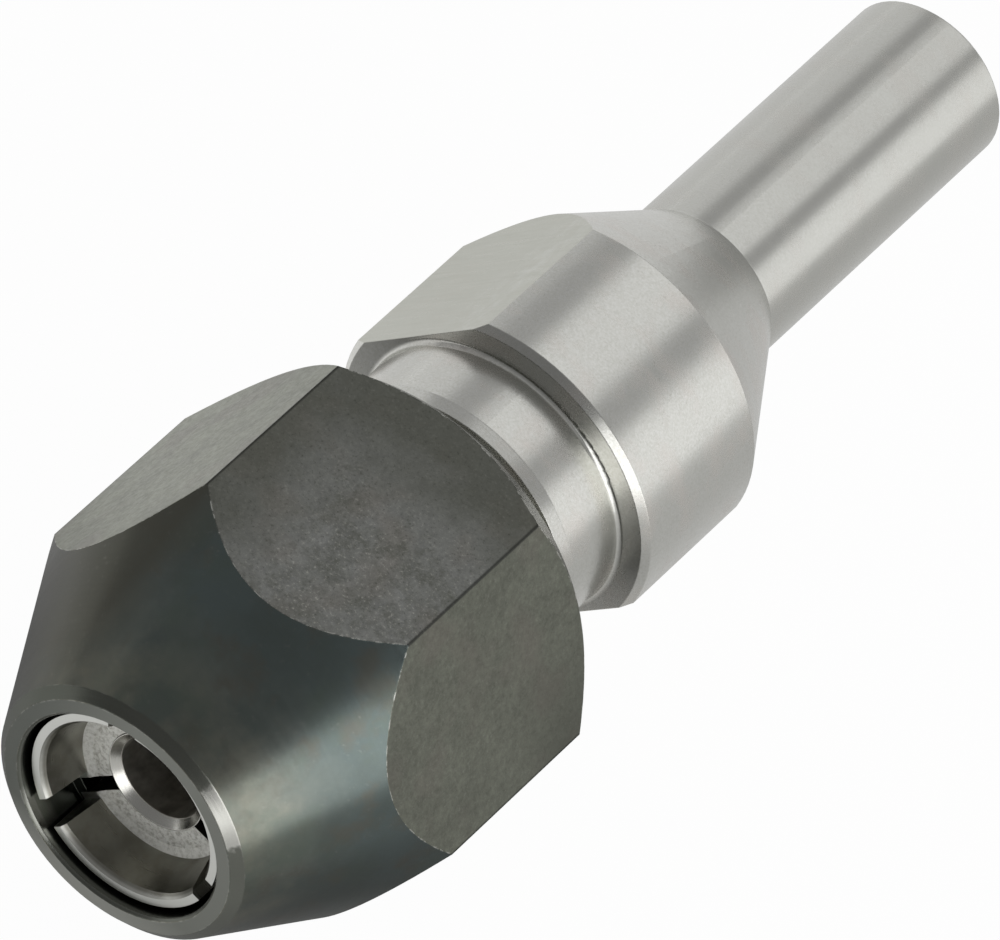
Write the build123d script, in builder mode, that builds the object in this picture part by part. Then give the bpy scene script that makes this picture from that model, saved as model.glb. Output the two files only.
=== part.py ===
from build123d import *
import math
import os

# Collet chuck extension: a plain shank carries a threaded nose, and a hex nut
# draws a slotted spring collet into the taper inside that nose. A thin sleeve
# in the collet's bore brings it down to the bit.
# Millimetres. The common axis is X, from the nut's nose (-X) to the shank (+X).
# X = 0 is the root of the shank.

# Shank, shoulder and body
shank_diameter = 12.7
shank_length = 27.45
shank_end_chamfer = 0.3
shoulder_half_angle = 30.0
body_step = 2.32
body_length = 12.29
body_front_chamfer = 0.48
wrench_flat_depth = 1.72
wrench_flat_turn = 38.5

# Neck and threaded nose: the core is the root of an M20 x 1.5 thread
neck_step = 1.3
neck_length = 5.95
neck_root_fillet = 0.4
neck_chamfer_length = 0.9
neck_chamfer_depth = 0.3
thread_core_step = 0.7
nose_end_chamfer = 0.3
relief_groove_width = 2.2
relief_groove_depth = 0.15

# Clearance hole for the end of the bit, behind the taper socket
bit_hole_clearance = 0.5
bit_hole_depth = 18.0
drill_point_angle = 118.0

# Collet
bit_diameter = 6.35
collet_length = 29.0
collet_head_diameter = 15.1
collet_head_length = 3.3
collet_groove_depth = 0.8
collet_groove_width = 1.1
collet_shoulder_step = 0.85
collet_land_length = 1.3
collet_overhang = 5.54
collet_front_half_angle = 30.0
taper_half_angle = 8.0
collet_rear_chamfer = 0.4
head_wall = 0.9
head_rim_bevel = 0.3
head_rim_drop = 0.38
counterbore_depth = 3.45
counterbore_draft = 0.73
floor_bevel_width = 0.7
floor_bevel_drop = 0.16

# Sleeve in the collet's bore: its front edge is nearly sharp and stands just proud
sleeve_wall = 0.625
sleeve_edge_width = 0.06
sleeve_stand_out = 0.1
sleeve_slot_count = 3
sleeve_slot_width = 0.8
sleeve_front_ring = 5.0

# Slots that let the collet close
slot_count = 3
slot_width = 1.1
head_slot_width = 2.15
closed_ring_length = 5.0
first_slot_turn = 71.0

# Nut
hex_across_flats = 29.5
nut_length = 31.43
nut_nose_wall = 1.2
nut_nose_edge_width = 0.76
nut_nose_edge_length = 0.63
nut_mouth_chamfer = 0.2
nose_cone_half_angle = 27.0
nut_rear_chamfer = 2.7
nut_standoff = 3.65
collet_recess = 0.83
runout_width = 2.0
runout_depth = 0.15
thread_bore_step = 0.95
thread_entry_chamfer = 0.5

# Clearances
sleeve_clearance = 0.02
seat_clearance = 0.1
head_clearance = 0.4
lip_clearance = 0.15
groove_clearance = 0.325
cavity_clearance = 0.6
nose_end_clearance = 1.5
socket_end_clearance = 1.5

# Radii, from the bore outwards
bit_radius = bit_diameter / 2
sleeve_radius = bit_radius + sleeve_wall
collet_bore_radius = sleeve_radius + sleeve_clearance
head_radius = collet_head_diameter / 2
groove_radius = head_radius - collet_groove_depth
shoulder_radius = head_radius + collet_shoulder_step
core_radius = shoulder_radius + thread_core_step
neck_radius = core_radius + neck_step
body_radius = neck_radius + body_step
shank_radius = shank_diameter / 2

# Places along the axis: the body from the shank forwards, then nut, collet and nose
front_slope = math.tan(math.radians(collet_front_half_angle))
taper_slope = math.tan(math.radians(taper_half_angle))
shoulder_length = (body_radius - shank_radius) / math.tan(math.radians(shoulder_half_angle))
body_rear_x = -shoulder_length
body_front_x = body_rear_x - body_length
neck_front_x = body_front_x - neck_length
nut_rear_x = neck_front_x - nut_standoff
nut_nose_x = nut_rear_x - nut_length
collet_face_x = nut_nose_x + collet_recess
collet_rear_x = collet_face_x + collet_length
groove_start_x = collet_face_x + collet_head_length
front_cone_x = groove_start_x + collet_groove_width
land_start_x = front_cone_x + (shoulder_radius - groove_radius) / front_slope
taper_start_x = land_start_x + collet_land_length
nose_front_x = taper_start_x + collet_overhang
floor_x = collet_face_x + counterbore_depth


def collet_taper_radius(x: float) -> float:
    """Radius of the collet's long rear taper at a place on the axis."""
    return shoulder_radius - taper_slope * (x - taper_start_x)


def socket_radius(x: float) -> float:
    """Radius of the body's taper socket: the collet's taper and the seat clearance."""
    return collet_taper_radius(x) + seat_clearance / math.cos(math.radians(taper_half_angle))


def make_chuck_body():
    """Turned in one piece: shank, shoulder cone, body, neck and threaded nose."""
    relief_radius = core_radius - relief_groove_depth
    relief_start_x = neck_front_x - relief_groove_width
    hole_radius = bit_radius + bit_hole_clearance
    socket_floor_x = collet_rear_x + socket_end_clearance
    hole_end_x = socket_floor_x + bit_hole_depth
    drill_point = hole_radius / math.tan(math.radians(drill_point_angle / 2))
    with BuildPart() as body:
        with BuildSketch(Plane.XZ):
            with BuildLine():
                Polyline(
                    (nose_front_x, 0),
                    (nose_front_x, core_radius - nose_end_chamfer),
                    (nose_front_x + nose_end_chamfer, core_radius),
                    (relief_start_x, core_radius),
                    (relief_start_x + relief_groove_depth, relief_radius),
                    (neck_front_x, relief_radius),
                    (neck_front_x, neck_radius - neck_chamfer_depth),
                    (neck_front_x + neck_chamfer_length, neck_radius),
                    (body_front_x, neck_radius),
                    (body_front_x, body_radius - body_front_chamfer),
                    (body_front_x + body_front_chamfer, body_radius),
                    (body_rear_x, body_radius),
                    (0, shank_radius),
                    (shank_length - shank_end_chamfer, shank_radius),
                    (shank_length, shank_radius - shank_end_chamfer),
                    (shank_length, 0),
                    close=True,
                )
            make_face()
        revolve(axis=Axis.X)
        root = body.edges().filter_by(GeomType.CIRCLE).filter_by(
            lambda e: abs(e.center().X - body_front_x) < 1e-3 and abs(e.radius - neck_radius) < 1e-3
        )
        fillet(root, radius=neck_root_fillet)

        # Taper socket and the blind hole behind it
        with BuildSketch(Plane.XZ):
            with BuildLine():
                Polyline(
                    (nose_front_x - 1, 0),
                    (nose_front_x - 1, socket_radius(nose_front_x - 1)),
                    (socket_floor_x, socket_radius(socket_floor_x)),
                    (socket_floor_x, hole_radius),
                    (hole_end_x, hole_radius),
                    (hole_end_x + drill_point, 0),
                    close=True,
                )
            make_face()
        revolve(axis=Axis.X, mode=Mode.SUBTRACT)

        # Two wrench flats, milled from the front face and run out on the shoulder cone
        flat_run = body_length + shoulder_length
        for turn in (wrench_flat_turn, wrench_flat_turn + 180):
            direction = Vector(0, math.cos(math.radians(turn)), math.sin(math.radians(turn)))
            cutter_centre = Vector(body_front_x + flat_run / 2, 0, 0) + direction * body_radius
            with Locations(Plane(origin=cutter_centre, x_dir=(1, 0, 0), z_dir=direction)):
                Box(flat_run, 2 * body_radius, 2 * wrench_flat_depth, mode=Mode.SUBTRACT)
    body.part.label = "chuck_body"
    return body


def make_collet():
    """Slotted spring collet: head, groove, front cone and a long rear taper."""
    mouth_radius = head_radius - head_wall
    floor_radius = mouth_radius - counterbore_draft
    bevel_radius = floor_radius - floor_bevel_width
    rear_radius = collet_taper_radius(collet_rear_x - collet_rear_chamfer)
    with BuildPart() as collet:
        with BuildSketch(Plane.XZ):
            with BuildLine():
                Polyline(
                    (collet_face_x, head_radius),
                    (groove_start_x, head_radius),
                    (groove_start_x, groove_radius),
                    (front_cone_x, groove_radius),
                    (land_start_x, shoulder_radius),
                    (taper_start_x, shoulder_radius),
                    (collet_rear_x - collet_rear_chamfer, rear_radius),
                    (collet_rear_x, rear_radius - collet_rear_chamfer),
                    (collet_rear_x, collet_bore_radius),
                    (floor_x, collet_bore_radius),
                    (floor_x, bevel_radius),
                    (floor_x - floor_bevel_drop, floor_radius),
                    (collet_face_x + head_rim_drop, mouth_radius),
                    (collet_face_x, mouth_radius + head_rim_bevel),
                    close=True,
                )
            make_face()
        revolve(axis=Axis.X)

        # Through slots, open at the front and stopped short of the rear ring
        slot_length = collet_length - closed_ring_length
        slot_centre_x = collet_face_x + slot_length / 2
        head_centre_x = collet_face_x + (counterbore_depth - floor_bevel_drop) / 2
        for index in range(slot_count):
            turn = first_slot_turn + index * 360 / slot_count
            direction = Vector(0, math.cos(math.radians(turn)), math.sin(math.radians(turn)))
            slot_centre = Vector(slot_centre_x, 0, 0) + direction * shoulder_radius / 2
            with Locations(Plane(origin=slot_centre, x_dir=(1, 0, 0), z_dir=direction)):
                Box(slot_length, slot_width, shoulder_radius + 1, mode=Mode.SUBTRACT)
            # The same slots are milled wider through the wall of the head
            wall_centre = Vector(head_centre_x, 0, 0) + direction * head_radius
            with Locations(Plane(origin=wall_centre, x_dir=(1, 0, 0), z_dir=direction)):
                Box(
                    counterbore_depth - floor_bevel_drop,
                    head_slot_width,
                    2 * (head_radius - floor_radius + floor_bevel_width),
                    mode=Mode.SUBTRACT,
                )
    collet.part.label = "collet"
    return collet


def make_bit_sleeve():
    """Thin sleeve in the collet's bore: a whole ring in front, slotted from the rear."""
    front_x = floor_x - sleeve_stand_out
    mouth_chamfer = sleeve_wall - sleeve_edge_width
    with BuildPart() as sleeve:
        with BuildSketch(Plane.XZ):
            with BuildLine():
                Polyline(
                    (front_x, sleeve_radius),
                    (collet_rear_x, sleeve_radius),
                    (collet_rear_x, bit_radius),
                    (front_x + mouth_chamfer, bit_radius),
                    (front_x, bit_radius + mouth_chamfer),
                    close=True,
                )
            make_face()
        revolve(axis=Axis.X)

        # Slots from the rear, between those of the collet
        slot_start_x = front_x + sleeve_front_ring
        slot_length = collet_rear_x - slot_start_x
        for index in range(sleeve_slot_count):
            turn = first_slot_turn + (index + 0.5) * 360 / sleeve_slot_count
            direction = Vector(0, math.cos(math.radians(turn)), math.sin(math.radians(turn)))
            slot_centre = Vector(slot_start_x + slot_length / 2, 0, 0) + direction * sleeve_radius
            with Locations(Plane(origin=slot_centre, x_dir=(1, 0, 0), z_dir=direction)):
                Box(slot_length, sleeve_slot_width, 4 * sleeve_wall, mode=Mode.SUBTRACT)
    sleeve.part.label = "bit_sleeve"
    return sleeve


def make_collet_nut():
    """Hex nut with a coned nose, a snap lip, the collet's seat cone and a thread bore."""
    nose_bore_radius = head_radius + head_clearance
    nose_radius = nose_bore_radius + nut_nose_wall
    cone_start_radius = nose_radius + nut_nose_edge_width
    corner_radius = hex_across_flats / 2 / math.cos(math.radians(30))
    cone_slope = math.tan(math.radians(nose_cone_half_angle))
    cone_end_x = nut_nose_x + nut_nose_edge_length + (corner_radius - cone_start_radius) / cone_slope
    lip_radius = groove_radius + groove_clearance
    cavity_radius = shoulder_radius + cavity_clearance
    thread_radius = core_radius + thread_bore_step
    runout_radius = thread_radius + runout_depth
    lip_front_x = groove_start_x + lip_clearance
    runout_end_x = nose_front_x - nose_end_clearance
    runout_start_x = runout_end_x - runout_width

    def seat_x(radius: float) -> float:
        """Where the seat cone, one clearance outside the collet's, has this radius."""
        offset = seat_clearance / math.cos(math.radians(collet_front_half_angle))
        return front_cone_x + (radius - groove_radius - offset) / front_slope

    with BuildPart() as nut:
        # Turned blank: nose cone, full corners and a 45 degree rear chamfer
        with BuildSketch(Plane.XZ):
            with BuildLine():
                Polyline(
                    (nut_nose_x, 0),
                    (nut_nose_x, nose_radius),
                    (nut_nose_x + nut_nose_edge_length, cone_start_radius),
                    (cone_end_x, corner_radius),
                    (nut_rear_x - nut_rear_chamfer, corner_radius),
                    (nut_rear_x, corner_radius - nut_rear_chamfer),
                    (nut_rear_x, 0),
                    close=True,
                )
            make_face()
        revolve(axis=Axis.X)

        # Hexagon, one flat up and one flat down
        with BuildSketch(Plane.YZ.offset(nut_nose_x)):
            RegularPolygon(radius=corner_radius, side_count=6)
        extrude(amount=nut_length, mode=Mode.INTERSECT)

        # Stepped bore
        with BuildSketch(Plane.XZ):
            with BuildLine():
                Polyline(
                    (nut_nose_x, 0),
                    (nut_nose_x, nose_bore_radius + nut_mouth_chamfer),
                    (nut_nose_x + nut_mouth_chamfer, nose_bore_radius),
                    (lip_front_x, nose_bore_radius),
                    (lip_front_x, lip_radius),
                    (seat_x(lip_radius), lip_radius),
                    (seat_x(cavity_radius), cavity_radius),
                    (runout_start_x, cavity_radius),
                    (runout_start_x, runout_radius),
                    (runout_end_x, runout_radius),
                    (runout_end_x, thread_radius),
                    (nut_rear_x - thread_entry_chamfer, thread_radius),
                    (nut_rear_x, thread_radius + thread_entry_chamfer),
                    (nut_rear_x, 0),
                    close=True,
                )
            make_face()
        revolve(axis=Axis.X, mode=Mode.SUBTRACT)
    nut.part.label = "collet_nut"
    return nut


os.makedirs("parts", exist_ok=True)

chuck_body = make_chuck_body()
collet = make_collet()
bit_sleeve = make_bit_sleeve()
collet_nut = make_collet_nut()

export_step(chuck_body.part, "parts/chuck_body.step")
export_step(collet.part, "parts/collet.step")
export_step(bit_sleeve.part, "parts/bit_sleeve.step")
export_step(collet_nut.part, "parts/collet_nut.step")
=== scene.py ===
"""Looks of a collet chuck extension: bright turned steel, a black oxide nut and a spring collet.

The CAD nodes keep their shapes and get their finishes here. The screw threads, which the solids leave
plain, are modelled as pieces of their own. Lengths are in millimetres until they reach a mesh or a
light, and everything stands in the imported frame: X runs from the nut's nose to the shank's end.
"""

import logging
import math
from dataclasses import dataclass
from enum import Enum
from functools import cached_property

import bmesh
import bpy
from mathutils import Matrix, Vector


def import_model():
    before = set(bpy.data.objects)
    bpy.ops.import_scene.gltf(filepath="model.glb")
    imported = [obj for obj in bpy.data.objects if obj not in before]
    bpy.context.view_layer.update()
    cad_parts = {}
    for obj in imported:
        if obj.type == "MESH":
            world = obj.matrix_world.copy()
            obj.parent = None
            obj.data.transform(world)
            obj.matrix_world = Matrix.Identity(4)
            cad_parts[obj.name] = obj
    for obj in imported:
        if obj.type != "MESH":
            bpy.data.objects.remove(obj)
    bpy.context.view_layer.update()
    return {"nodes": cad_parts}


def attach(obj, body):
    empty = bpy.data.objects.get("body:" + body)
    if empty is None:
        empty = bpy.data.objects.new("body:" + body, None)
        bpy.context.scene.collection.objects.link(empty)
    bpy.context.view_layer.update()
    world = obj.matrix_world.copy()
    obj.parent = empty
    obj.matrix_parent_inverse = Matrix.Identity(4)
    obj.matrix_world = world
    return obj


LOG = logging.getLogger("collet_chuck")
MM = 0.001
WHITE = "#ffffff"

# What an input takes: a node or one of its outputs, a hex colour, a number or a vector.
Feed = bpy.types.Node | bpy.types.NodeSocket | str | float | tuple[float, ...]
# Two values of a pattern between which a share rises from 0 to 1, or between the two that follow them.
Fade = tuple[float, ...]

# Cosines between a face's normal and the axis, and between a face's normal and its rounded one.
SQUARE_TO_AXIS: Fade = (0.96, 0.985)
ROUNDED_AWAY: Fade = (0.995, 0.975)


class Node(Enum):
    """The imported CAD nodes, which are also the bodies that pieces ride on."""

    BODY = "chuck_body"
    COLLET = "collet"
    SLEEVE = "bit_sleeve"
    NUT = "collet_nut"


@dataclass(frozen=True)
class Grain:
    """Noise with its own number of features per millimetre along X, Y and Z, and its finer octaves."""

    per_mm: tuple[float, float, float]
    detail: float = 2.0
    roughness: float = 0.5


@dataclass(frozen=True)
class Tint:
    """A colour that is laid over another, and the values of a pattern over which it fades in."""

    colour: str
    fade: Fade = (0.0, 1.0)


def linear(hex_colour: str) -> tuple[float, float, float, float]:
    """Turn an sRGB hex colour into linear RGBA.

    Args:
        hex_colour: six hex digits after a #.

    Returns:
        Linear red, green and blue, and a full alpha.
    """
    digits = hex_colour.lstrip("#")
    channels = [int(digits[i:i + 2], 16) / 255 for i in (0, 2, 4)]
    red, green, blue = (c / 12.92 if c <= 0.04045 else ((c + 0.055) / 1.055) ** 2.4 for c in channels)
    return red, green, blue, 1.0


def across_axis(turn_deg: float) -> tuple[float, float, float]:
    """The direction square to the common axis that is turned from +Y towards +Z."""
    turn = math.radians(turn_deg)
    return 0.0, math.cos(turn), math.sin(turn)


def pointing(azimuth_deg: float, elevation_deg: float) -> Vector:
    """The direction at an azimuth from +X towards +Y and an elevation above the floor."""
    azimuth, elevation = math.radians(azimuth_deg), math.radians(elevation_deg)
    return Vector((math.cos(elevation) * math.cos(azimuth), math.cos(elevation) * math.sin(azimuth),
                   math.sin(elevation)))


class Graph:
    """The shader nodes of one material or world, with the patterns that all finishes are built from."""

    def __init__(self, owner: bpy.types.Material | bpy.types.World) -> None:
        """Switch the owner's nodes on and start from none."""
        owner.use_nodes = True
        self.tree = owner.node_tree
        self.tree.nodes.clear()

    def add(self, kind: str, *feeds: Feed, named: dict[str, Feed] | None = None,
            **settings) -> bpy.types.Node:
        """Add a shader node, set its properties and fill or link its inputs.

        Args:
            kind: the node's type name after ShaderNode.
            *feeds: what goes to the inputs in use, in their order. A node gives its first output.
            named: what goes to inputs by their name.
            **settings: properties of the node itself.

        Returns:
            The new node.
        """
        node = self.tree.nodes.new(f"ShaderNode{kind}")
        for name, value in settings.items():
            setattr(node, name, value)
        in_use = [socket for socket in node.inputs if socket.enabled]
        by_name = [(node.inputs[name], feed) for name, feed in (named or {}).items()]
        for socket, feed in [*zip(in_use, feeds), *by_name]:
            if isinstance(feed, bpy.types.Node):
                feed = next(output for output in feed.outputs if output.enabled)
            if isinstance(feed, bpy.types.NodeSocket):
                self.tree.links.new(feed, socket)
            else:
                socket.default_value = linear(feed) if isinstance(feed, str) else feed
        return node

    @cached_property
    def place(self) -> bpy.types.Node:
        """Object coordinates in millimetres, so that every pattern is scaled from a real size."""
        return self.add("VectorMath", self.add("TexCoord").outputs["Object"], 1 / MM, operation="SCALE")

    @cached_property
    def parts(self) -> bpy.types.NodeOutputs:
        """The place's X, which runs along the common axis, Y and Z."""
        return self.add("SeparateXYZ", self.place).outputs

    @cached_property
    def across(self) -> bpy.types.Node:
        """The way from the common axis to the place."""
        return self.add("VectorMath", self.place, (0.0, 1.0, 1.0), operation="MULTIPLY")

    @cached_property
    def outward(self) -> bpy.types.Node:
        """The direction away from the common axis."""
        return self.add("VectorMath", self.across, operation="NORMALIZE")

    @cached_property
    def radius(self) -> bpy.types.Node:
        """Distance from the common axis in millimetres."""
        return self.add("VectorMath", self.across, operation="LENGTH")

    @cached_property
    def end_faces(self) -> bpy.types.Node:
        """1 on faces square to the common axis, 0 on turned walls and cones."""
        face = self.add("NewGeometry").outputs["True Normal"]
        along = self.add("VectorMath", face, (1.0, 0.0, 0.0), operation="DOT_PRODUCT")
        return self.add("MapRange", self.add("Math", along, operation="ABSOLUTE"), *SQUARE_TO_AXIS)

    def reach(self, turn_deg: float) -> bpy.types.Node:
        """Distance from the common axis in a direction across it and in the opposite one alike.

        Args:
            turn_deg: the direction, in degrees from +Y towards +Z.

        Returns:
            The distance in millimetres.
        """
        along = self.add("VectorMath", self.place, across_axis(turn_deg), operation="DOT_PRODUCT")
        return self.add("Math", along, operation="ABSOLUTE")

    def grain(self, grain: Grain) -> bpy.types.Node:
        """Noise on the place, between 0 and 1."""
        stretched = self.add("Mapping", named={"Vector": self.place, "Scale": grain.per_mm})
        return self.add("TexNoise", named={
            "Vector": stretched, "Scale": 1.0, "Detail": grain.detail, "Roughness": grain.roughness})

    def soft_edges(self, radius_mm: float) -> bpy.types.Node:
        """Shading normal of edges broken by a small radius."""
        return self.add("Bevel", radius_mm * MM, samples=8)

    def edge_share(self, rounded: bpy.types.Node) -> bpy.types.Node:
        """How far the rounded normal leaves the face's own: 0 on open faces, 1 on sharp edges."""
        face = self.add("NewGeometry").outputs["True Normal"]
        turned = self.add("VectorMath", rounded, face, operation="DOT_PRODUCT")
        return self.add("MapRange", turned, *ROUNDED_AWAY)

    def product(self, *factors: Feed) -> bpy.types.Node:
        """The product of factors, which for shares is how far they all hold at once."""
        product, *others = factors
        for factor in others:
            product = self.add("Math", product, factor, operation="MULTIPLY")
        return product

    def tint(self, under: Feed, pattern: Feed, tint: Tint) -> bpy.types.Node:
        """Lay a tint over a colour where a pattern lets it show."""
        share = self.add("MapRange", pattern, *tint.fade)
        return self.add("Mix", share, under, tint.colour, data_type="RGBA")

    def relief(self, height: Feed, depth_mm: float, normal: Feed) -> bpy.types.Node:
        """Shading normal of a fine relief on another normal."""
        return self.add("Bump", named={
            "Strength": 1.0, "Distance": depth_mm * MM, "Height": height, "Normal": normal})

    def metal(self, colour: Feed, roughness: Feed, normal: Feed) -> None:
        """Make bare metal the material's surface."""
        metal = self.add("BsdfPrincipled", named={
            "Base Color": colour, "Metallic": 1.0, "Roughness": roughness, "Normal": normal})
        self.add("OutputMaterial", metal)


@dataclass(frozen=True)
class TurnedSteel:
    """Bright carbon steel, turned and ground: fine rings round the axis and a soft satin shine. The two
    wrench flats are milled, which leaves straight tool lines and a duller, slightly rubbed face."""

    name: str = "turned ground steel"
    dull_colour: str = "#c8c8c2"
    bright: Tint = Tint("#d2d2ce", (0.35, 0.65))
    warm: Tint = Tint("#d3cdc7", (0.5, 0.72, 0.0, 0.6))
    pored: Tint = Tint("#a9a8a1", (0.66, 0.74, 0.0, 0.35))
    shank: Tint = Tint("#c0c0bb", (-0.2, 0.2, 0.0, 0.6))
    milled: Tint = Tint("#c4c5bb", (0.0, 1.0, 0.0, 0.8))
    rubbed: Tint = Tint("#d6d7d2", (0.0, 1.0, 0.0, 0.8))
    # Rings every 0.18 mm and mill marks every 0.28 mm, coarser than real tool marks so that they show.
    rings: Grain = Grain((1 / 0.18, 0.12, 0.12))
    mill_marks: Grain = Grain((1 / 0.28, 0.25, 0.25), 3.0, 0.6)
    texture: Grain = Grain((7.0, 5.0, 5.0), 3.0, 0.6)
    smears: Grain = Grain((0.4, 0.25, 0.25), 4.0, 0.6)
    pores: Grain = Grain((4.5, 4.5, 4.5))
    spots: Grain = Grain((0.7, 1.1, 1.1), 5.0, 0.75)
    relief_depth_mm: float = 0.0013
    texture_height: float = 0.8
    mill_height: float = 2.0
    edge_radius_mm: float = 0.1
    texture_roughness: Fade = (0.3, 0.7, 0.28, 0.23)
    smear_roughness: Fade = (0.42, 0.66, -0.02, 0.03)
    mill_roughness: Fade = (0.35, 0.65, 0.27, 0.36)
    flat_turn_deg: float = 38.5
    flat_reach_mm: Fade = (10.98, 10.99)
    flat_x_mm: tuple[float, float] = (-23.4, 0.0)
    rub_near_mm: Fade = (0.8, 4.0)
    rub_far_mm: Fade = (6.8, 5.0)
    rub_spots: Fade = (0.44, 0.64, 0.0, 0.7)
    neck_chamfer_start_mm: Fade = (-29.27, -29.23)
    neck_chamfer_end_mm: Fade = (-28.27, -28.47)
    neck_roll: float = 0.5

    def build(self) -> bpy.types.Material:
        """Make the material and return it."""
        material = bpy.data.materials.new(self.name)
        graph = Graph(material)
        texture, smears = graph.grain(self.texture), graph.grain(self.smears)
        marks = graph.grain(self.mill_marks)
        on_flat = self.on_flats(graph)
        rubbed = graph.product(self.rubbed_patches(graph), on_flat)

        colour = graph.tint(self.dull_colour, texture, self.bright)
        for pattern, tint in (
            (smears, self.warm),
            (graph.grain(self.pores), self.pored),
            (graph.parts["X"], self.shank),
            (on_flat, self.milled),
            (rubbed, self.rubbed),
        ):
            colour = graph.tint(colour, pattern, tint)

        turned = graph.add("Math", texture, self.texture_height, graph.grain(self.rings),
                           operation="MULTIPLY_ADD")
        cut = graph.product(graph.add("Math", marks, rubbed, operation="ADD"), self.mill_height)
        height = graph.add("Mix", on_flat, turned, cut, data_type="FLOAT")
        satin = graph.add("Math", graph.add("MapRange", texture, *self.texture_roughness),
                          graph.add("MapRange", smears, *self.smear_roughness), operation="ADD")
        roughness = graph.add("Mix", on_flat, satin, graph.add("MapRange", marks, *self.mill_roughness),
                              data_type="FLOAT")
        normal = graph.relief(height, self.relief_depth_mm, self.rounded_neck(graph))
        graph.metal(colour, roughness, normal)
        return material

    def on_flats(self, graph: Graph) -> bpy.types.Node:
        """1 on the two wrench flats, which run along the body and its shoulder, 0 elsewhere."""
        first, last = self.flat_x_mm
        return graph.product(
            graph.add("MapRange", graph.reach(self.flat_turn_deg), *self.flat_reach_mm),
            graph.add("Math", graph.parts["X"], first, operation="GREATER_THAN"),
            graph.add("Math", graph.parts["X"], last, operation="LESS_THAN"))

    def rubbed_patches(self, graph: Graph) -> bpy.types.Node:
        """Small burnished patches from handling, gathered near one long edge of each flat."""
        side = graph.add("VectorMath", graph.place, across_axis(self.flat_turn_deg + 90),
                         operation="DOT_PRODUCT")
        return graph.product(
            graph.add("MapRange", side, *self.rub_near_mm),
            graph.add("MapRange", side, *self.rub_far_mm),
            graph.add("MapRange", graph.grain(self.spots), *self.rub_spots))

    def rounded_neck(self, graph: Graph) -> bpy.types.Node:
        """Shading normal with soft edges, and the neck's front chamfer rolled towards the cylinder."""
        chamfer = graph.product(
            graph.add("MapRange", graph.parts["X"], *self.neck_chamfer_start_mm),
            graph.add("MapRange", graph.parts["X"], *self.neck_chamfer_end_mm),
            graph.add("Math", 1.0, graph.end_faces, operation="SUBTRACT"),
            self.neck_roll)
        outward = graph.add("VectorTransform", graph.outward, vector_type="NORMAL",
                            convert_from="OBJECT", convert_to="WORLD")
        rounded = graph.soft_edges(self.edge_radius_mm)
        return graph.add("Mix", chamfer, rounded, outward, data_type="VECTOR")


@dataclass(frozen=True)
class SpringSteel:
    """Hardened spring steel left bright: smooth bored walls in a darker, duller colour, a bright rim,
    and a floor that the counterboring tool left torn and pale."""

    name: str = "hardened spring steel"
    colour: str = "#c6c6c0"
    wall_colour: str = "#9b9a92"
    torn_colour: str = "#c2c1b9"
    dulled: Tint = Tint("#9b9a92", (0.4, 0.68, 0.0, 0.5))
    stained: Tint = Tint("#86847c", (0.38, 0.64))
    pale: Tint = Tint("#efefea", (0.38, 0.54))
    rim: Tint = Tint("#d9dad5")
    # Rings every 0.15 mm, coarser than real tool marks so that they show.
    rings: Grain = Grain((1 / 0.15, 0.3, 0.3))
    tears: Grain = Grain((3.4, 3.4, 3.4), 5.0, 0.75)
    stains: Grain = Grain((0.45, 0.45, 0.45), 3.0, 0.6)
    wall_radius_mm: Fade = (6.85, 6.75)
    floor_radius_mm: Fade = (6.2, 6.0)
    ring_roughness: Fade = (0.3, 0.7, 0.27, 0.34)
    floor_roughness: Fade = (0.35, 0.65, 0.62, 0.54)
    ring_depth_mm: float = 0.002
    tear_depth_mm: float = 0.05
    edge_radius_mm: float = 0.035

    def build(self) -> bpy.types.Material:
        """Make the material and return it."""
        material = bpy.data.materials.new(self.name)
        graph = Graph(material)
        rings, tears, stains = (graph.grain(grain) for grain in (self.rings, self.tears, self.stains))
        inner = graph.add("MapRange", graph.radius, *self.wall_radius_mm)
        within = graph.add("MapRange", graph.radius, *self.floor_radius_mm)
        floor = graph.product(graph.end_faces, within)

        colour = graph.add("Mix", inner, graph.tint(self.colour, stains, self.dulled),
                           graph.tint(self.wall_colour, stains, self.stained), data_type="RGBA")
        colour = graph.tint(colour, graph.end_faces, self.rim)
        colour = graph.add("Mix", floor, colour, graph.tint(self.torn_colour, tears, self.pale),
                           data_type="RGBA")

        turned = graph.relief(rings, self.ring_depth_mm, graph.soft_edges(self.edge_radius_mm))
        normal = graph.relief(graph.product(tears, floor), self.tear_depth_mm, turned)
        roughness = graph.add("Mix", floor, graph.add("MapRange", rings, *self.ring_roughness),
                              graph.add("MapRange", tears, *self.floor_roughness), data_type="FLOAT")
        graph.metal(colour, roughness, normal)
        return material


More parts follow.
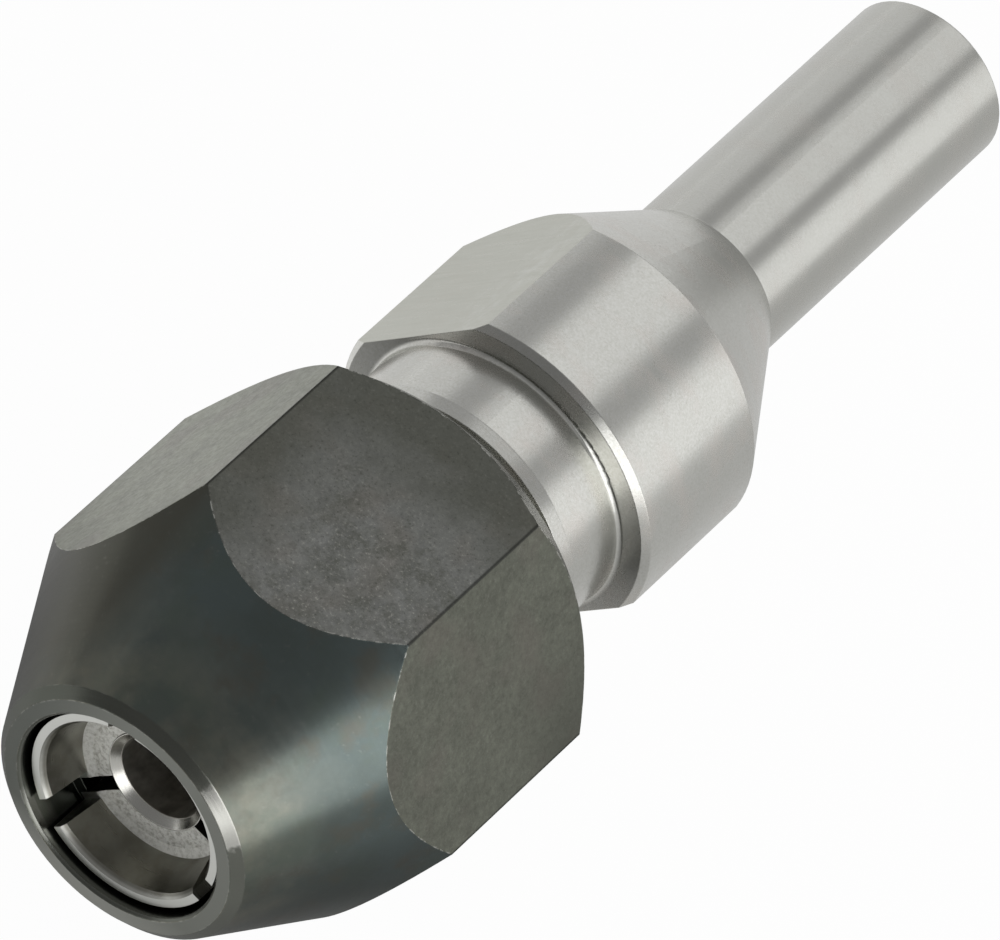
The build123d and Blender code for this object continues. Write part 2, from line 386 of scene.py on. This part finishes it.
@dataclass(frozen=True)
class GroundSleeve:
    """Thin ground sleeve: its chamfered mouth is bright and smooth, its bore is reamed and duller."""

    name: str = "ground sleeve steel"
    mouth_colour: str = "#d2d1cb"
    bore_colour: str = "#cfccc4"
    reamed: Tint = Tint("#a39f97", (0.4, 0.65))
    # Rings every 0.12 mm, coarser than real grinding marks so that they show.
    rings: Grain = Grain((1 / 0.12, 0.4, 0.4))
    stains: Grain = Grain((0.5, 0.7, 0.7), 3.0, 0.6)
    bore_radius_mm: Fade = (3.225, 3.195)
    mouth_roughness: Fade = (0.3, 0.7, 0.18, 0.25)
    bore_roughness: float = 0.5
    ring_depth_mm: float = 0.0015
    edge_radius_mm: float = 0.03

    def build(self) -> bpy.types.Material:
        """Make the material and return it."""
        material = bpy.data.materials.new(self.name)
        graph = Graph(material)
        rings = graph.grain(self.rings)
        bore = graph.add("MapRange", graph.radius, *self.bore_radius_mm)
        reamed = graph.tint(self.bore_colour, graph.grain(self.stains), self.reamed)
        colour = graph.add("Mix", bore, self.mouth_colour, reamed, data_type="RGBA")
        roughness = graph.add("Mix", bore, graph.add("MapRange", rings, *self.mouth_roughness),
                              self.bore_roughness, data_type="FLOAT")
        normal = graph.relief(rings, self.ring_depth_mm, graph.soft_edges(self.edge_radius_mm))
        graph.metal(colour, roughness, normal)
        return material


@dataclass(frozen=True)
class OxideCone:
    """Black oxide on turned faces: beige by the nose, bluish towards the flats, with faint clouds,
    and painted shade on the left side.
    """

    colour: str = "#626c6b"
    by_nose: Tint = Tint("#7f7e72", (11.0, 3.0))
    dark: Tint = Tint("#5c6461", (0.4, 0.62, 0.0, 0.8))
    brown: Tint = Tint("#67655c", (0.52, 0.66, 0.0, 0.6))
    green: Tint = Tint("#606a62", (0.52, 0.68, 0.0, 0.6))
    # Painted shade on the left side of the cone.
    left: Tint = Tint("#53524a")
    flecked: Tint = Tint("#a5a49d", (0.6, 0.74, 0.0, 0.16))
    clouds: Grain = Grain((0.2, 0.2, 0.2), 4.0, 0.6)
    browns: Grain = Grain((0.3, 0.3, 0.3), 4.0, 0.6)
    greens: Grain = Grain((0.14, 0.17, 0.17), 5.0, 0.65)
    specks: Grain = Grain((2.6, 2.6, 2.6), 4.0, 0.7)
    drift_mm: float = 6.0
    left_side_mm: Fade = (5.0, 8.4)
    left_behind_nose_mm: Fade = (2.0, 8.0, 0.6, 0.9)

    def skin(self, graph: Graph, behind_nose: bpy.types.Node) -> bpy.types.Node:
        """Colour of the turned faces.

        Args:
            graph: the material's graph.
            behind_nose: distance behind the nose's face in millimetres.

        Returns:
            The colour.
        """
        browns = graph.grain(self.browns)
        drifted = graph.add("Math", browns, self.drift_mm, behind_nose, operation="MULTIPLY_ADD")
        # Painted shade on the left side, fading in behind the nose.
        left = graph.product(graph.add("MapRange", graph.parts["Y"], *self.left_side_mm),
                             graph.add("MapRange", drifted, *self.left_behind_nose_mm))
        skin = graph.tint(self.colour, drifted, self.by_nose)
        for pattern, tint in (
            (graph.grain(self.clouds), self.dark),
            (browns, self.brown),
            (graph.grain(self.greens), self.green),
            (left, self.left),
            (graph.grain(self.specks), self.flecked),
        ):
            skin = graph.tint(skin, pattern, tint)
        return skin


@dataclass(frozen=True)
class OxideFlat:
    """Black oxide on milled flats: mottled olive grey with pits and pale flecks, a painted light that
    makes the left flat lighter and the top one bluer, and a painted shade darker towards the rear."""

    dark_colour: str = "#6d6f65"
    pale: Tint = Tint("#828579", (0.36, 0.64))
    # Painted light: the left flat lighter, the top flat bluer.
    left: Tint = Tint("#989b86", (0.0, 1.0, 0.0, 0.3))
    top: Tint = Tint("#7d7d80", (0.0, 1.0, 0.0, 0.6))
    warm: Tint = Tint("#7b756e", (0.5, 0.64, 0.0, 0.4))
    # Painted shade towards the rear, also laid over random clouds.
    painted_shade: Tint = Tint("#52534c")
    pitted: Tint = Tint("#3f403a")
    flecked: Tint = Tint("#a5a49d")
    warmth: Grain = Grain((0.2, 0.2, 0.2))
    patches: Grain = Grain((0.28, 0.28, 0.28), 4.0, 0.65)
    spots: Grain = Grain((0.95, 0.95, 0.95), 6.0, 0.8)
    flecks: Grain = Grain((4.2, 3.6, 3.6), 4.0, 0.75)
    left_turn_deg: float = 30.0
    top_and_left_mm: Fade = (14.65, 14.73)
    drift_mm: Fade = (0.0, 1.0, -4.5, 4.5)
    top_rearward_mm: Fade = (-45.92, -36.42, 0.0, 0.85)
    top_leftward_mm: Fade = (-1.0, 8.0, 0.0, 0.85)
    lower_rearward_mm: Fade = (-45.92, -36.92)
    lower_height_mm: Fade = (10.0, 1.0, 0.0, 0.6)
    patch_clouds: Fade = (0.38, 0.64, 0.0, 0.32)
    spot_clouds: Fade = (0.42, 0.6, 0.0, 0.32)
    clouds_by_top: Fade = (0.0, 1.0, 0.7, 1.2)
    pits_by_fleck: Fade = (0.43, 0.32)
    pits_by_top: Fade = (0.0, 1.0, 0.22, 0.55)
    pale_by_fleck: Fade = (0.56, 0.68)
    pale_by_painted_shade: Fade = (0.55, 0.0, 0.12, 0.6)
    pale_by_top: Fade = (0.0, 1.0, 0.4, 1.0)

    def skin(self, graph: Graph, mottle: bpy.types.Node) -> bpy.types.Node:
        """Colour of the milled flats.

        Args:
            graph: the material's graph.
            mottle: the noise that the flats' relief follows too.

        Returns:
            The colour.
        """
        patches, spots = graph.grain(self.patches), graph.grain(self.spots)
        flecks = graph.grain(self.flecks)
        # Painted light on the top flat and on the left one.
        top = graph.add("MapRange", graph.parts["Z"], *self.top_and_left_mm)
        left = graph.add("MapRange", graph.reach(self.left_turn_deg), *self.top_and_left_mm)
        # Share of the painted shade towards the rear.
        painted_shade = self.painted_shade_share(graph, patches, top)
        clouds = graph.product(
            graph.add("Math", graph.add("MapRange", patches, *self.patch_clouds),
                      graph.add("MapRange", spots, *self.spot_clouds), operation="ADD"),
            graph.add("MapRange", top, *self.clouds_by_top))
        pits = graph.product(graph.add("MapRange", flecks, *self.pits_by_fleck),
                             graph.add("MapRange", top, *self.pits_by_top))
        pale = graph.product(graph.add("MapRange", flecks, *self.pale_by_fleck),
                             graph.add("MapRange", painted_shade, *self.pale_by_painted_shade),
                             graph.add("MapRange", top, *self.pale_by_top))
        skin = graph.tint(self.dark_colour, mottle, self.pale)
        # The left and top tints are painted light; the dark tint is painted shade, over random clouds
        # too.
        for pattern, tint in (
            (left, self.left),
            (top, self.top),
            (graph.grain(self.warmth), self.warm),
            (graph.add("Math", painted_shade, clouds, operation="MAXIMUM"), self.painted_shade),
            (pits, self.pitted),
            (pale, self.flecked),
        ):
            skin = graph.tint(skin, pattern, tint)
        return skin

    def painted_shade_share(self, graph: Graph, patches: bpy.types.Node, top: bpy.types.Node) -> bpy.types.Node:
        """Share of the painted shade: on the top flat towards its rear left corner, and on the right
        side's flats low down at the rear. Patches of noise move its border to and fro."""
        drift = graph.add("MapRange", patches, *self.drift_mm)
        along = graph.add("Math", graph.parts["X"], drift, operation="ADD")
        aside = graph.add("Math", graph.parts["Y"], drift, operation="ADD")
        corner = graph.add("Math", graph.add("MapRange", along, *self.top_rearward_mm),
                           graph.add("MapRange", aside, *self.top_leftward_mm), operation="MAXIMUM")
        lower = graph.product(
            graph.add("MapRange", graph.parts["Z"], *self.lower_height_mm),
            graph.add("MapRange", along, *self.lower_rearward_mm),
            graph.add("Math", graph.parts["Y"], 0.0, operation="LESS_THAN"))
        return graph.add("Math", graph.product(top, corner), lower, operation="MAXIMUM")


@dataclass(frozen=True)
class OxideNose:
    """Black oxide round the nut's mouth: a paler face, a chamfer that hands and the wrench have rubbed
    bright in one sector, partly a painted highlight, and a bore that is grey at its mouth and darkened
    by painted shade deeper in."""

    face_colour: str = "#868882"
    # Painted shade: the face darker to the left.
    face_left_shade: Tint = Tint("#666964", (1.0, 8.0, 0.0, 0.9))
    # Lighter low down: partly rubbed wear, partly a painted highlight.
    face_wear_and_highlight: Tint = Tint("#bfbfb9", (-5.0, -8.5, 0.0, 0.5))
    chamfer_colour: str = "#71736c"
    # Painted shade: the chamfer darker to the left.
    chamfer_left_shade: Tint = Tint("#5c5f58", (1.0, 8.0, 0.0, 0.9))
    # Rubbed bare in one sector: partly wear, partly a painted highlight.
    chamfer_wear_and_highlight: Tint = Tint("#bfbfb9")
    bore_colour: str = "#74766f"
    # Painted shade deeper in the bore.
    bore_deep_shade: Tint = Tint("#393b37", (0.7, 2.0))
    # Paler sector at the mouth: partly wear, partly a painted highlight.
    mouth: Tint = Tint("#8b8c86")
    raggedness: Grain = Grain((2.5, 2.5, 2.5), 3.0)
    # Distances behind the nose's face, and sectors by their middle and their reach to each side.
    chamfer_start_mm: Fade = (0.01, 0.05)
    chamfer_end_mm: Fade = (0.65, 0.61)
    chamfer_sector_deg: tuple[float, float] = (134.0, 14.0)
    mouth_depth_mm: Fade = (0.85, 0.7)
    mouth_sector_deg: tuple[float, float] = (313.0, 15.0)
    sector_blur: float = 0.006
    sector_ragged: Fade = (0.3, 0.7, -0.006, 0.006)

    def dress_outside(self, graph: Graph, colour: bpy.types.Node,
                      behind_nose: bpy.types.Node) -> bpy.types.Node:
        """Lay the nose's face and its chamfer over the skin."""
        face = graph.tint(self.face_colour, graph.parts["Y"], self.face_left_shade)
        face = graph.tint(face, graph.parts["Z"], self.face_wear_and_highlight)
        chamfer = graph.tint(self.chamfer_colour, graph.parts["Y"], self.chamfer_left_shade)
        on_chamfer = graph.product(graph.add("MapRange", behind_nose, *self.chamfer_end_mm),
                                   graph.add("MapRange", behind_nose, *self.chamfer_start_mm))
        colour = graph.add("Mix", graph.end_faces, colour, face, data_type="RGBA")
        colour = graph.add("Mix", on_chamfer, colour, chamfer, data_type="RGBA")
        # The rubbed sector is partly wear and partly a painted highlight.
        rubbed = graph.product(on_chamfer, self.sector(graph, *self.chamfer_sector_deg))
        return graph.tint(colour, rubbed, self.chamfer_wear_and_highlight)

    def dress_bore(self, graph: Graph, colour: bpy.types.Node, inside: bpy.types.Node,
                   behind_nose: bpy.types.Node) -> bpy.types.Node:
        """Lay the bore over the skin, with painted shade deeper in and one paler sector at its mouth,
        partly wear and partly a painted highlight.
        """
        # Painted shade darkens the bore deeper in.
        bore = graph.tint(self.bore_colour, behind_nose, self.bore_deep_shade)
        colour = graph.add("Mix", inside, colour, bore, data_type="RGBA")
        mouth = graph.product(inside, graph.add("MapRange", behind_nose, *self.mouth_depth_mm),
                              self.sector(graph, *self.mouth_sector_deg))
        return graph.tint(colour, mouth, self.mouth)

    def sector(self, graph: Graph, middle_deg: float, reach_deg: float) -> bpy.types.Node:
        """1 in a sector round the axis with ragged ends, 0 elsewhere.

        Args:
            graph: the material's graph.
            middle_deg: the sector's middle, in degrees from +Y towards +Z.
            reach_deg: how far it reaches to each side.

        Returns:
            The share of the sector.
        """
        near = graph.add("VectorMath", graph.outward, across_axis(middle_deg), operation="DOT_PRODUCT")
        ragged = graph.add("MapRange", graph.grain(self.raggedness), *self.sector_ragged)
        end = math.cos(math.radians(reach_deg))
        return graph.add("MapRange", graph.add("Math", near, ragged, operation="ADD"),
                         end - self.sector_blur, end + self.sector_blur)


@dataclass(frozen=True)
class BlackOxide:
    """Steel blackened in hot salts: a dark, thin skin that is mottled and flecked on the milled flats,
    smooth and bluish on the turned cone, and rubbed to bare metal in nicks along the edges."""

    name: str = "black oxide steel"
    cone: OxideCone = OxideCone()
    flat: OxideFlat = OxideFlat()
    nose: OxideNose = OxideNose()
    # Painted shade on the turned faces at the nut's rear.
    rear: Tint = Tint("#52534c")
    corners: Tint = Tint("#2c2d2a", (0.0, 1.0, 0.0, 0.75))
    bare: Tint = Tint("#cdcdc7")
    # Rings every 0.2 mm, coarser than real tool marks so that they show.
    rings: Grain = Grain((1 / 0.2, 0.15, 0.15))
    mottle: Grain = Grain((2.0, 2.0, 2.0), 6.0, 0.8)
    chips: Grain = Grain((1.3, 1.3, 1.3), 4.0, 0.75)
    nose_x_mm: float = -64.35
    rear_x_mm: Fade = (-38.92, -38.42)
    bore_radius_mm: Fade = (8.1, 8.0)
    flat_turns_deg: tuple[float, float, float] = (90.0, 30.0, 150.0)
    flat_reach_mm: Fade = (14.73, 14.74)
    corner_reach_mm: Fade = (14.59, 14.69)
    chipped: Fade = (0.5, 0.57)
    wear_behind_nose_mm: Fade = (0.9, 1.3, 0.28, 1.0)
    edge_radius_mm: float = 0.16
    relief_depth_mm: float = 0.003
    mottle_height: float = 3.2
    cone_roughness: Fade = (0.3, 0.7, 0.23, 0.27)
    flat_roughness: Fade = (0.38, 0.62, 0.4, 0.32)
    face_roughness: float = 0.45

    def build(self) -> bpy.types.Material:
        """Make the material and return it."""
        material = bpy.data.materials.new(self.name)
        graph = Graph(material)
        rings, mottle = graph.grain(self.rings), graph.grain(self.mottle)
        behind_nose = graph.add("Math", graph.parts["X"], self.nose_x_mm, operation="SUBTRACT")
        largest, second = self.flat_reaches(graph)
        hexagon = graph.add("MapRange", largest, *self.flat_reach_mm)
        corner = graph.add("MapRange", second, *self.corner_reach_mm)
        inside = graph.add("MapRange", graph.radius, *self.bore_radius_mm)
        rounded = graph.soft_edges(self.edge_radius_mm)

        colour = graph.add("Mix", hexagon, self.cone.skin(graph, behind_nose),
                           self.flat.skin(graph, mottle), data_type="RGBA")
        colour = self.nose.dress_outside(graph, colour, behind_nose)
        turned = graph.add("Math", 1.0, hexagon, operation="SUBTRACT")
        # Painted shade on the turned faces at the nut's rear.
        rear = graph.product(graph.add("MapRange", graph.parts["X"], *self.rear_x_mm), turned)
        colour = graph.tint(colour, rear, self.rear)
        colour = self.nose.dress_bore(graph, colour, inside, behind_nose)
        colour = graph.tint(colour, graph.product(hexagon, corner), self.corners)
        spared = graph.add("Math", corner, inside, operation="MAXIMUM")
        worn = graph.product(
            graph.edge_share(rounded),
            graph.add("MapRange", graph.grain(self.chips), *self.chipped),
            graph.add("Math", 1.0, spared, operation="SUBTRACT"),
            graph.add("MapRange", behind_nose, *self.wear_behind_nose_mm))
        colour = graph.tint(colour, worn, self.bare)

        height = graph.add("Mix", hexagon, rings, graph.product(mottle, self.mottle_height),
                           data_type="FLOAT")
        roughness = graph.add("Mix", hexagon, graph.add("MapRange", rings, *self.cone_roughness),
                              graph.add("MapRange", mottle, *self.flat_roughness), data_type="FLOAT")
        roughness = graph.add("Mix", graph.end_faces, roughness, self.face_roughness, data_type="FLOAT")
        graph.metal(colour, roughness, graph.relief(height, self.relief_depth_mm, rounded))
        return material

    def flat_reaches(self, graph: Graph) -> tuple[bpy.types.Node, bpy.types.Node]:
        """The largest and the second largest distance from the axis towards the flats."""
        first, second, third = (graph.reach(turn) for turn in self.flat_turns_deg)
        low = graph.add("Math", first, second, operation="MINIMUM")
        high = graph.add("Math", first, second, operation="MAXIMUM")
        middle = graph.add("Math", high, third, operation="MINIMUM")
        return (graph.add("Math", high, third, operation="MAXIMUM"),
                graph.add("Math", low, middle, operation="MAXIMUM"))


@dataclass(frozen=True)
class ScrewThread:
    """The ridge of a 60 degree screw thread, which the plain solids leave out: its outline is swept
    along a right-hand helix, closed at both ends and sunk a little into the cylinder under it."""

    name: str
    body: Node
    base_radius_mm: float
    crest_radius_mm: float
    base_width_mm: float
    crest_width_mm: float
    start_x_mm: float
    turns: int
    last_turn_deg: float
    pitch_mm: float = 1.5
    steps_per_turn: int = 60
    fade_deg: float = 70.0
    smooth_angle_deg: float = 25.0
    crest_tolerance_mm: float = 0.01
    merge_distance_mm: float = 0.001

    def build(self, material: bpy.types.Material) -> bpy.types.Object:
        """Model the ridge, dress it and let it ride on its body.

        Args:
            material: the finish of the piece that carries the thread.

        Returns:
            The finished ridge.
        """
        ridge = self.draw_outline()
        self.sweep(ridge)
        self.fade_ends(ridge)
        self.close(ridge)
        ridge.data.materials.append(material)
        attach(ridge, self.body.value)
        LOG.info("%s on %s: %d faces", self.name, self.body.value, len(ridge.data.polygons))
        return ridge

    def draw_outline(self) -> bpy.types.Object:
        """The ridge's outline: a plane stood up on the axis, moved out and narrowed to the crest."""
        middle = (self.base_radius_mm + self.crest_radius_mm) / 2
        depth = abs(self.crest_radius_mm - self.base_radius_mm)
        centre = (self.start_x_mm * MM, 0, middle * MM)
        bpy.ops.object.select_all(action="DESELECT")
        bpy.ops.mesh.primitive_plane_add(size=MM, rotation=(math.pi / 2, 0, 0), location=centre)
        outline = bpy.context.object
        outline.name = self.name
        bpy.ops.object.transform_apply(location=True, rotation=True, scale=True)
        bpy.ops.object.mode_set(mode="EDIT")
        bpy.ops.transform.resize(value=(self.base_width_mm, 1, depth), center_override=centre)
        self.select_crest(outline)
        narrowed = self.crest_width_mm / self.base_width_mm
        bpy.ops.transform.resize(value=(narrowed, 1, 1), center_override=centre)
        bpy.ops.mesh.select_all(action="SELECT")
        bpy.ops.mesh.delete(type="ONLY_FACE")
        bpy.ops.object.mode_set(mode="OBJECT")
        return outline

    def select_crest(self, outline: bpy.types.Object) -> None:
        """Select the two corners of the outline that lie at the crest's radius."""
        shape = bmesh.from_edit_mesh(outline.data)
        shape.select_mode = {"VERT"}
        for corner in shape.verts:
            corner.select = self.at_crest(corner.co.z)
        shape.select_flush_mode()
        bmesh.update_edit_mesh(outline.data)

    def at_crest(self, radius: float) -> bool:
        """Whether a radius in metres is the crest's."""
        return abs(radius - self.crest_radius_mm * MM) < self.crest_tolerance_mm * MM

    def sweep(self, ridge: bpy.types.Object) -> None:
        """Turn the outline along the helix with an applied Screw modifier."""
        screw = ridge.modifiers.new("helix", "SCREW")
        screw.axis = "X"
        screw.angle = math.radians(self.last_turn_deg)
        screw.screw_offset = self.pitch_mm * MM * self.last_turn_deg / 360
        screw.iterations = self.turns
        screw.steps = screw.render_steps = round(self.steps_per_turn * self.last_turn_deg / 360)
        screw.use_smooth_shade = False
        bpy.ops.object.modifier_apply(modifier=screw.name)

    def fade_ends(self, ridge: bpy.types.Object) -> None:
        """Let the crest rise out of the cylinder at one end and sink back at the other."""
        crest = [corner for corner in ridge.data.vertices
                 if self.at_crest(math.hypot(corner.co.y, corner.co.z))]
        first, last = min(corner.co.x for corner in crest), max(corner.co.x for corner in crest)
        fade = self.pitch_mm * MM * self.fade_deg / 360
        for corner in crest:
            share = min(1.0, (corner.co.x - first) / fade, (last - corner.co.x) / fade)
            radius_mm = self.base_radius_mm + (self.crest_radius_mm - self.base_radius_mm) * share
            corner.co.y *= radius_mm / self.crest_radius_mm
            corner.co.z *= radius_mm / self.crest_radius_mm

    def close(self, ridge: bpy.types.Object) -> None:
        """Cap the ends, turn the faces outwards and shade the flanks smooth."""
        bpy.ops.object.mode_set(mode="EDIT")
        bpy.ops.mesh.select_all(action="SELECT")
        bpy.ops.mesh.remove_doubles(threshold=self.merge_distance_mm * MM)
        bpy.ops.mesh.select_all(action="DESELECT")
        bpy.ops.mesh.select_mode(type="EDGE")
        bpy.ops.mesh.select_non_manifold()
        bpy.ops.mesh.edge_face_add()
        bpy.ops.mesh.select_all(action="SELECT")
        bpy.ops.mesh.normals_make_consistent(inside=False)
        bpy.ops.object.mode_set(mode="OBJECT")
        bpy.ops.object.shade_smooth_by_angle(angle=math.radians(self.smooth_angle_deg))


@dataclass(frozen=True)
class SoftBox:
    """One rectangular lamp that faces the part: where it hangs, its size and how bright its face is."""

    name: str
    azimuth_deg: float
    elevation_deg: float
    width_mm: float
    height_mm: float
    radiance: float
    distance_mm: float = 500.0
    aim_mm: tuple[float, float, float] = (-20.0, 0.0, 0.0)

    def hang(self) -> None:
        """Add the lamp, turned towards the middle of the part and level with the floor."""
        direction = pointing(self.azimuth_deg, self.elevation_deg)
        lamp = bpy.data.lights.new(self.name, "AREA")
        lamp.shape = "RECTANGLE"
        lamp.size = self.width_mm * MM
        lamp.size_y = self.height_mm * MM
        lamp.energy = math.pi * lamp.size * lamp.size_y * self.radiance
        box = bpy.data.objects.new(self.name, lamp)
        box.location = Vector(self.aim_mm) * MM + direction * self.distance_mm * MM
        box.rotation_euler = direction.to_track_quat("Z", "Y").to_euler()
        bpy.context.collection.objects.link(box)


@dataclass(frozen=True)
class Camera:
    """A long lens that looks down on the nose, rolled as the photograph is."""

    aim_mm: tuple[float, float, float] = (-22.52, -0.13, -0.03)
    azimuth_deg: float = 18.734
    elevation_deg: float = 50.586
    roll_deg: float = 23.841
    distance_mm: float = 828.57
    sensor_mm: float = 36.0
    lens_mm: float = 448.185
    clip_end_mm: float = 10000.0

    def place(self) -> None:
        """Add the camera and make it the scene's."""
        forward = pointing(self.azimuth_deg, -self.elevation_deg)
        level = forward.cross(Vector((0, 0, 1))).normalized()
        upright = level.cross(forward)
        roll = math.radians(self.roll_deg)
        right = level * math.cos(roll) + upright * math.sin(roll)
        up = right.cross(forward)
        lens = bpy.data.cameras.new("camera")
        lens.sensor_width = self.sensor_mm
        lens.lens = self.lens_mm
        lens.clip_end = self.clip_end_mm * MM
        camera = bpy.data.objects.new("camera", lens)
        camera.rotation_euler = Matrix((right, up, -forward)).transposed().to_euler()
        camera.location = Vector(self.aim_mm) * MM - forward * self.distance_mm * MM
        bpy.context.collection.objects.link(camera)
        bpy.context.scene.camera = camera


@dataclass(frozen=True)
class Studio:
    """White ground, a dim room and five soft boxes, with the camera at the photograph's angle."""

    boxes: tuple[SoftBox, ...] = (
        SoftBox("window", 241, 15, width_mm=600, height_mm=360, radiance=1.75),
        SoftBox("side soft box", 309, 13, width_mm=430, height_mm=330, radiance=0.72),
        SoftBox("top soft box", 0, 53, width_mm=346, height_mm=350, radiance=0.52),
        SoftBox("back soft box", 53, 13, width_mm=480, height_mm=310, radiance=0.36),
        SoftBox("left soft box", 106, 15, width_mm=300, height_mm=300, radiance=0.1),
    )
    # The room's light by the X of a direction: dimmer before the nose.
    room_light: Fade = (-0.75, 0.4, 0.19, 0.42)
    paper_colour: str = "#e7e7e5"
    floor_z_mm: float = -14.75
    floor_size_mm: float = 4000.0
    white_to_camera: float = 0.975
    white_to_mirrors: float = 0.6
    # Painted shadow and painted glow on the floor, which only the metal's mirror image shows.
    shadow_centre_mm: tuple[float, float, float] = (-48.0, 0.0, 0.0)
    shadow_squeeze: tuple[float, float, float] = (2.0, 1.0, 0.0)
    shadow_mm: Fade = (22.0, 54.0, 0.15, 1.0)
    glow_centre_mm: tuple[float, float, float] = (-22.0, 35.0, 0.0)
    glow_mm: Fade = (30.0, 10.0, 1.0, 1.32)
    right_side_mm: Fade = (-30.0, 20.0, 0.66, 1.0)

    def build(self) -> None:
        """Add the room light, the floor, the soft boxes and the camera."""
        self.light_room()
        self.lay_floor()
        for box in self.boxes:
            box.hang()
        Camera().place()

    def light_room(self) -> None:
        """Dim light from all round, dimmer before the nose, and white behind the floor's far edge."""
        world = bpy.data.worlds.new("studio room")
        graph = Graph(world)
        to_camera = graph.add("LightPath").outputs["Is Camera Ray"]
        towards = graph.add("SeparateXYZ", graph.add("TexCoord").outputs["Generated"])
        room = graph.add("MapRange", towards.outputs["X"], *self.room_light)
        level = graph.add("Mix", to_camera, room, 1.0, data_type="FLOAT")
        graph.add("OutputWorld", graph.add("Background", WHITE, level))
        bpy.context.scene.world = world

    def lay_floor(self) -> None:
        """White paper under the part: near white to the camera, with a trace of shadow, and in the
        metal's mirror image painted shadow beside the nut and on the right, painted glow by the body."""
        bpy.ops.object.select_all(action="DESELECT")
        bpy.ops.mesh.primitive_plane_add(size=self.floor_size_mm * MM,
                                         location=(0, 0, self.floor_z_mm * MM))
        floor = bpy.context.object
        floor.name = "floor"
        material = bpy.data.materials.new("matt white paper")
        graph = Graph(material)
        ray = graph.add("LightPath").outputs
        share = graph.add("Math", graph.product(ray["Is Camera Ray"], self.white_to_camera),
                          graph.product(ray["Is Glossy Ray"], self.white_to_mirrors), operation="ADD")
        level = graph.add("Mix", ray["Is Camera Ray"], self.painted_mirror_light(graph), 1.0,
                          data_type="FLOAT")
        surface = graph.add("MixShader", share, graph.add("BsdfDiffuse", self.paper_colour),
                            graph.add("Emission", WHITE, level))
        graph.add("OutputMaterial", surface)
        floor.data.materials.append(material)

    def painted_mirror_light(self, graph: Graph) -> bpy.types.Node:
        """Painted light of the paper in the metal: shadow by the nut and on the right, glow by the
        body.
        """
        away = graph.add("VectorMath", graph.place, self.shadow_centre_mm, operation="SUBTRACT")
        away = graph.add("VectorMath", away, self.shadow_squeeze, operation="MULTIPLY")
        from_shadow = graph.add("VectorMath", away, operation="LENGTH")
        from_glow = graph.add("VectorMath", graph.place, self.glow_centre_mm, operation="DISTANCE")
        return graph.product(
            graph.add("MapRange", from_shadow, *self.shadow_mm),
            graph.add("MapRange", from_glow, *self.glow_mm),
            graph.add("MapRange", graph.parts["Y"], *self.right_side_mm))


@dataclass(frozen=True)
class Chuck:
    """The four CAD nodes with their finishes, and the two screw threads."""

    nodes: dict[str, bpy.types.Object]

    def dress(self) -> None:
        """Give each CAD node its material and cut the threads in the same finish."""
        finishes = {Node.BODY: TurnedSteel(), Node.COLLET: SpringSteel(), Node.SLEEVE: GroundSleeve(),
                    Node.NUT: BlackOxide()}
        materials = {}
        for node, finish in finishes.items():
            piece = self.nodes[node.value]
            materials[node] = finish.build()
            piece.data.materials.clear()
            piece.data.materials.append(materials[node])
            LOG.info("%s is %s", node.value, finish.name)
        for thread in (
            ScrewThread("nose_thread", Node.BODY, base_radius_mm=8.9, crest_radius_mm=9.95,
                        base_width_mm=1.4, crest_width_mm=0.19, start_x_mm=-48.6, turns=13,
                        last_turn_deg=345.0),
            ScrewThread("nut_thread", Node.NUT, base_radius_mm=10.1, crest_radius_mm=9.2,
                        base_width_mm=1.34, crest_width_mm=0.3, start_x_mm=-49.35, turns=11,
                        last_turn_deg=335.0),
        ):
            thread.build(materials[thread.body])


def main() -> None:
    """Load the frame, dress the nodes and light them."""
    logging.basicConfig(level=logging.INFO, format="%(name)s: %(message)s")
    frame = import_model()
    bpy.context.scene.view_settings.view_transform = "Standard"
    Chuck(frame["nodes"]).dress()
    Studio().build()


if __name__ == "__main__":
    main()
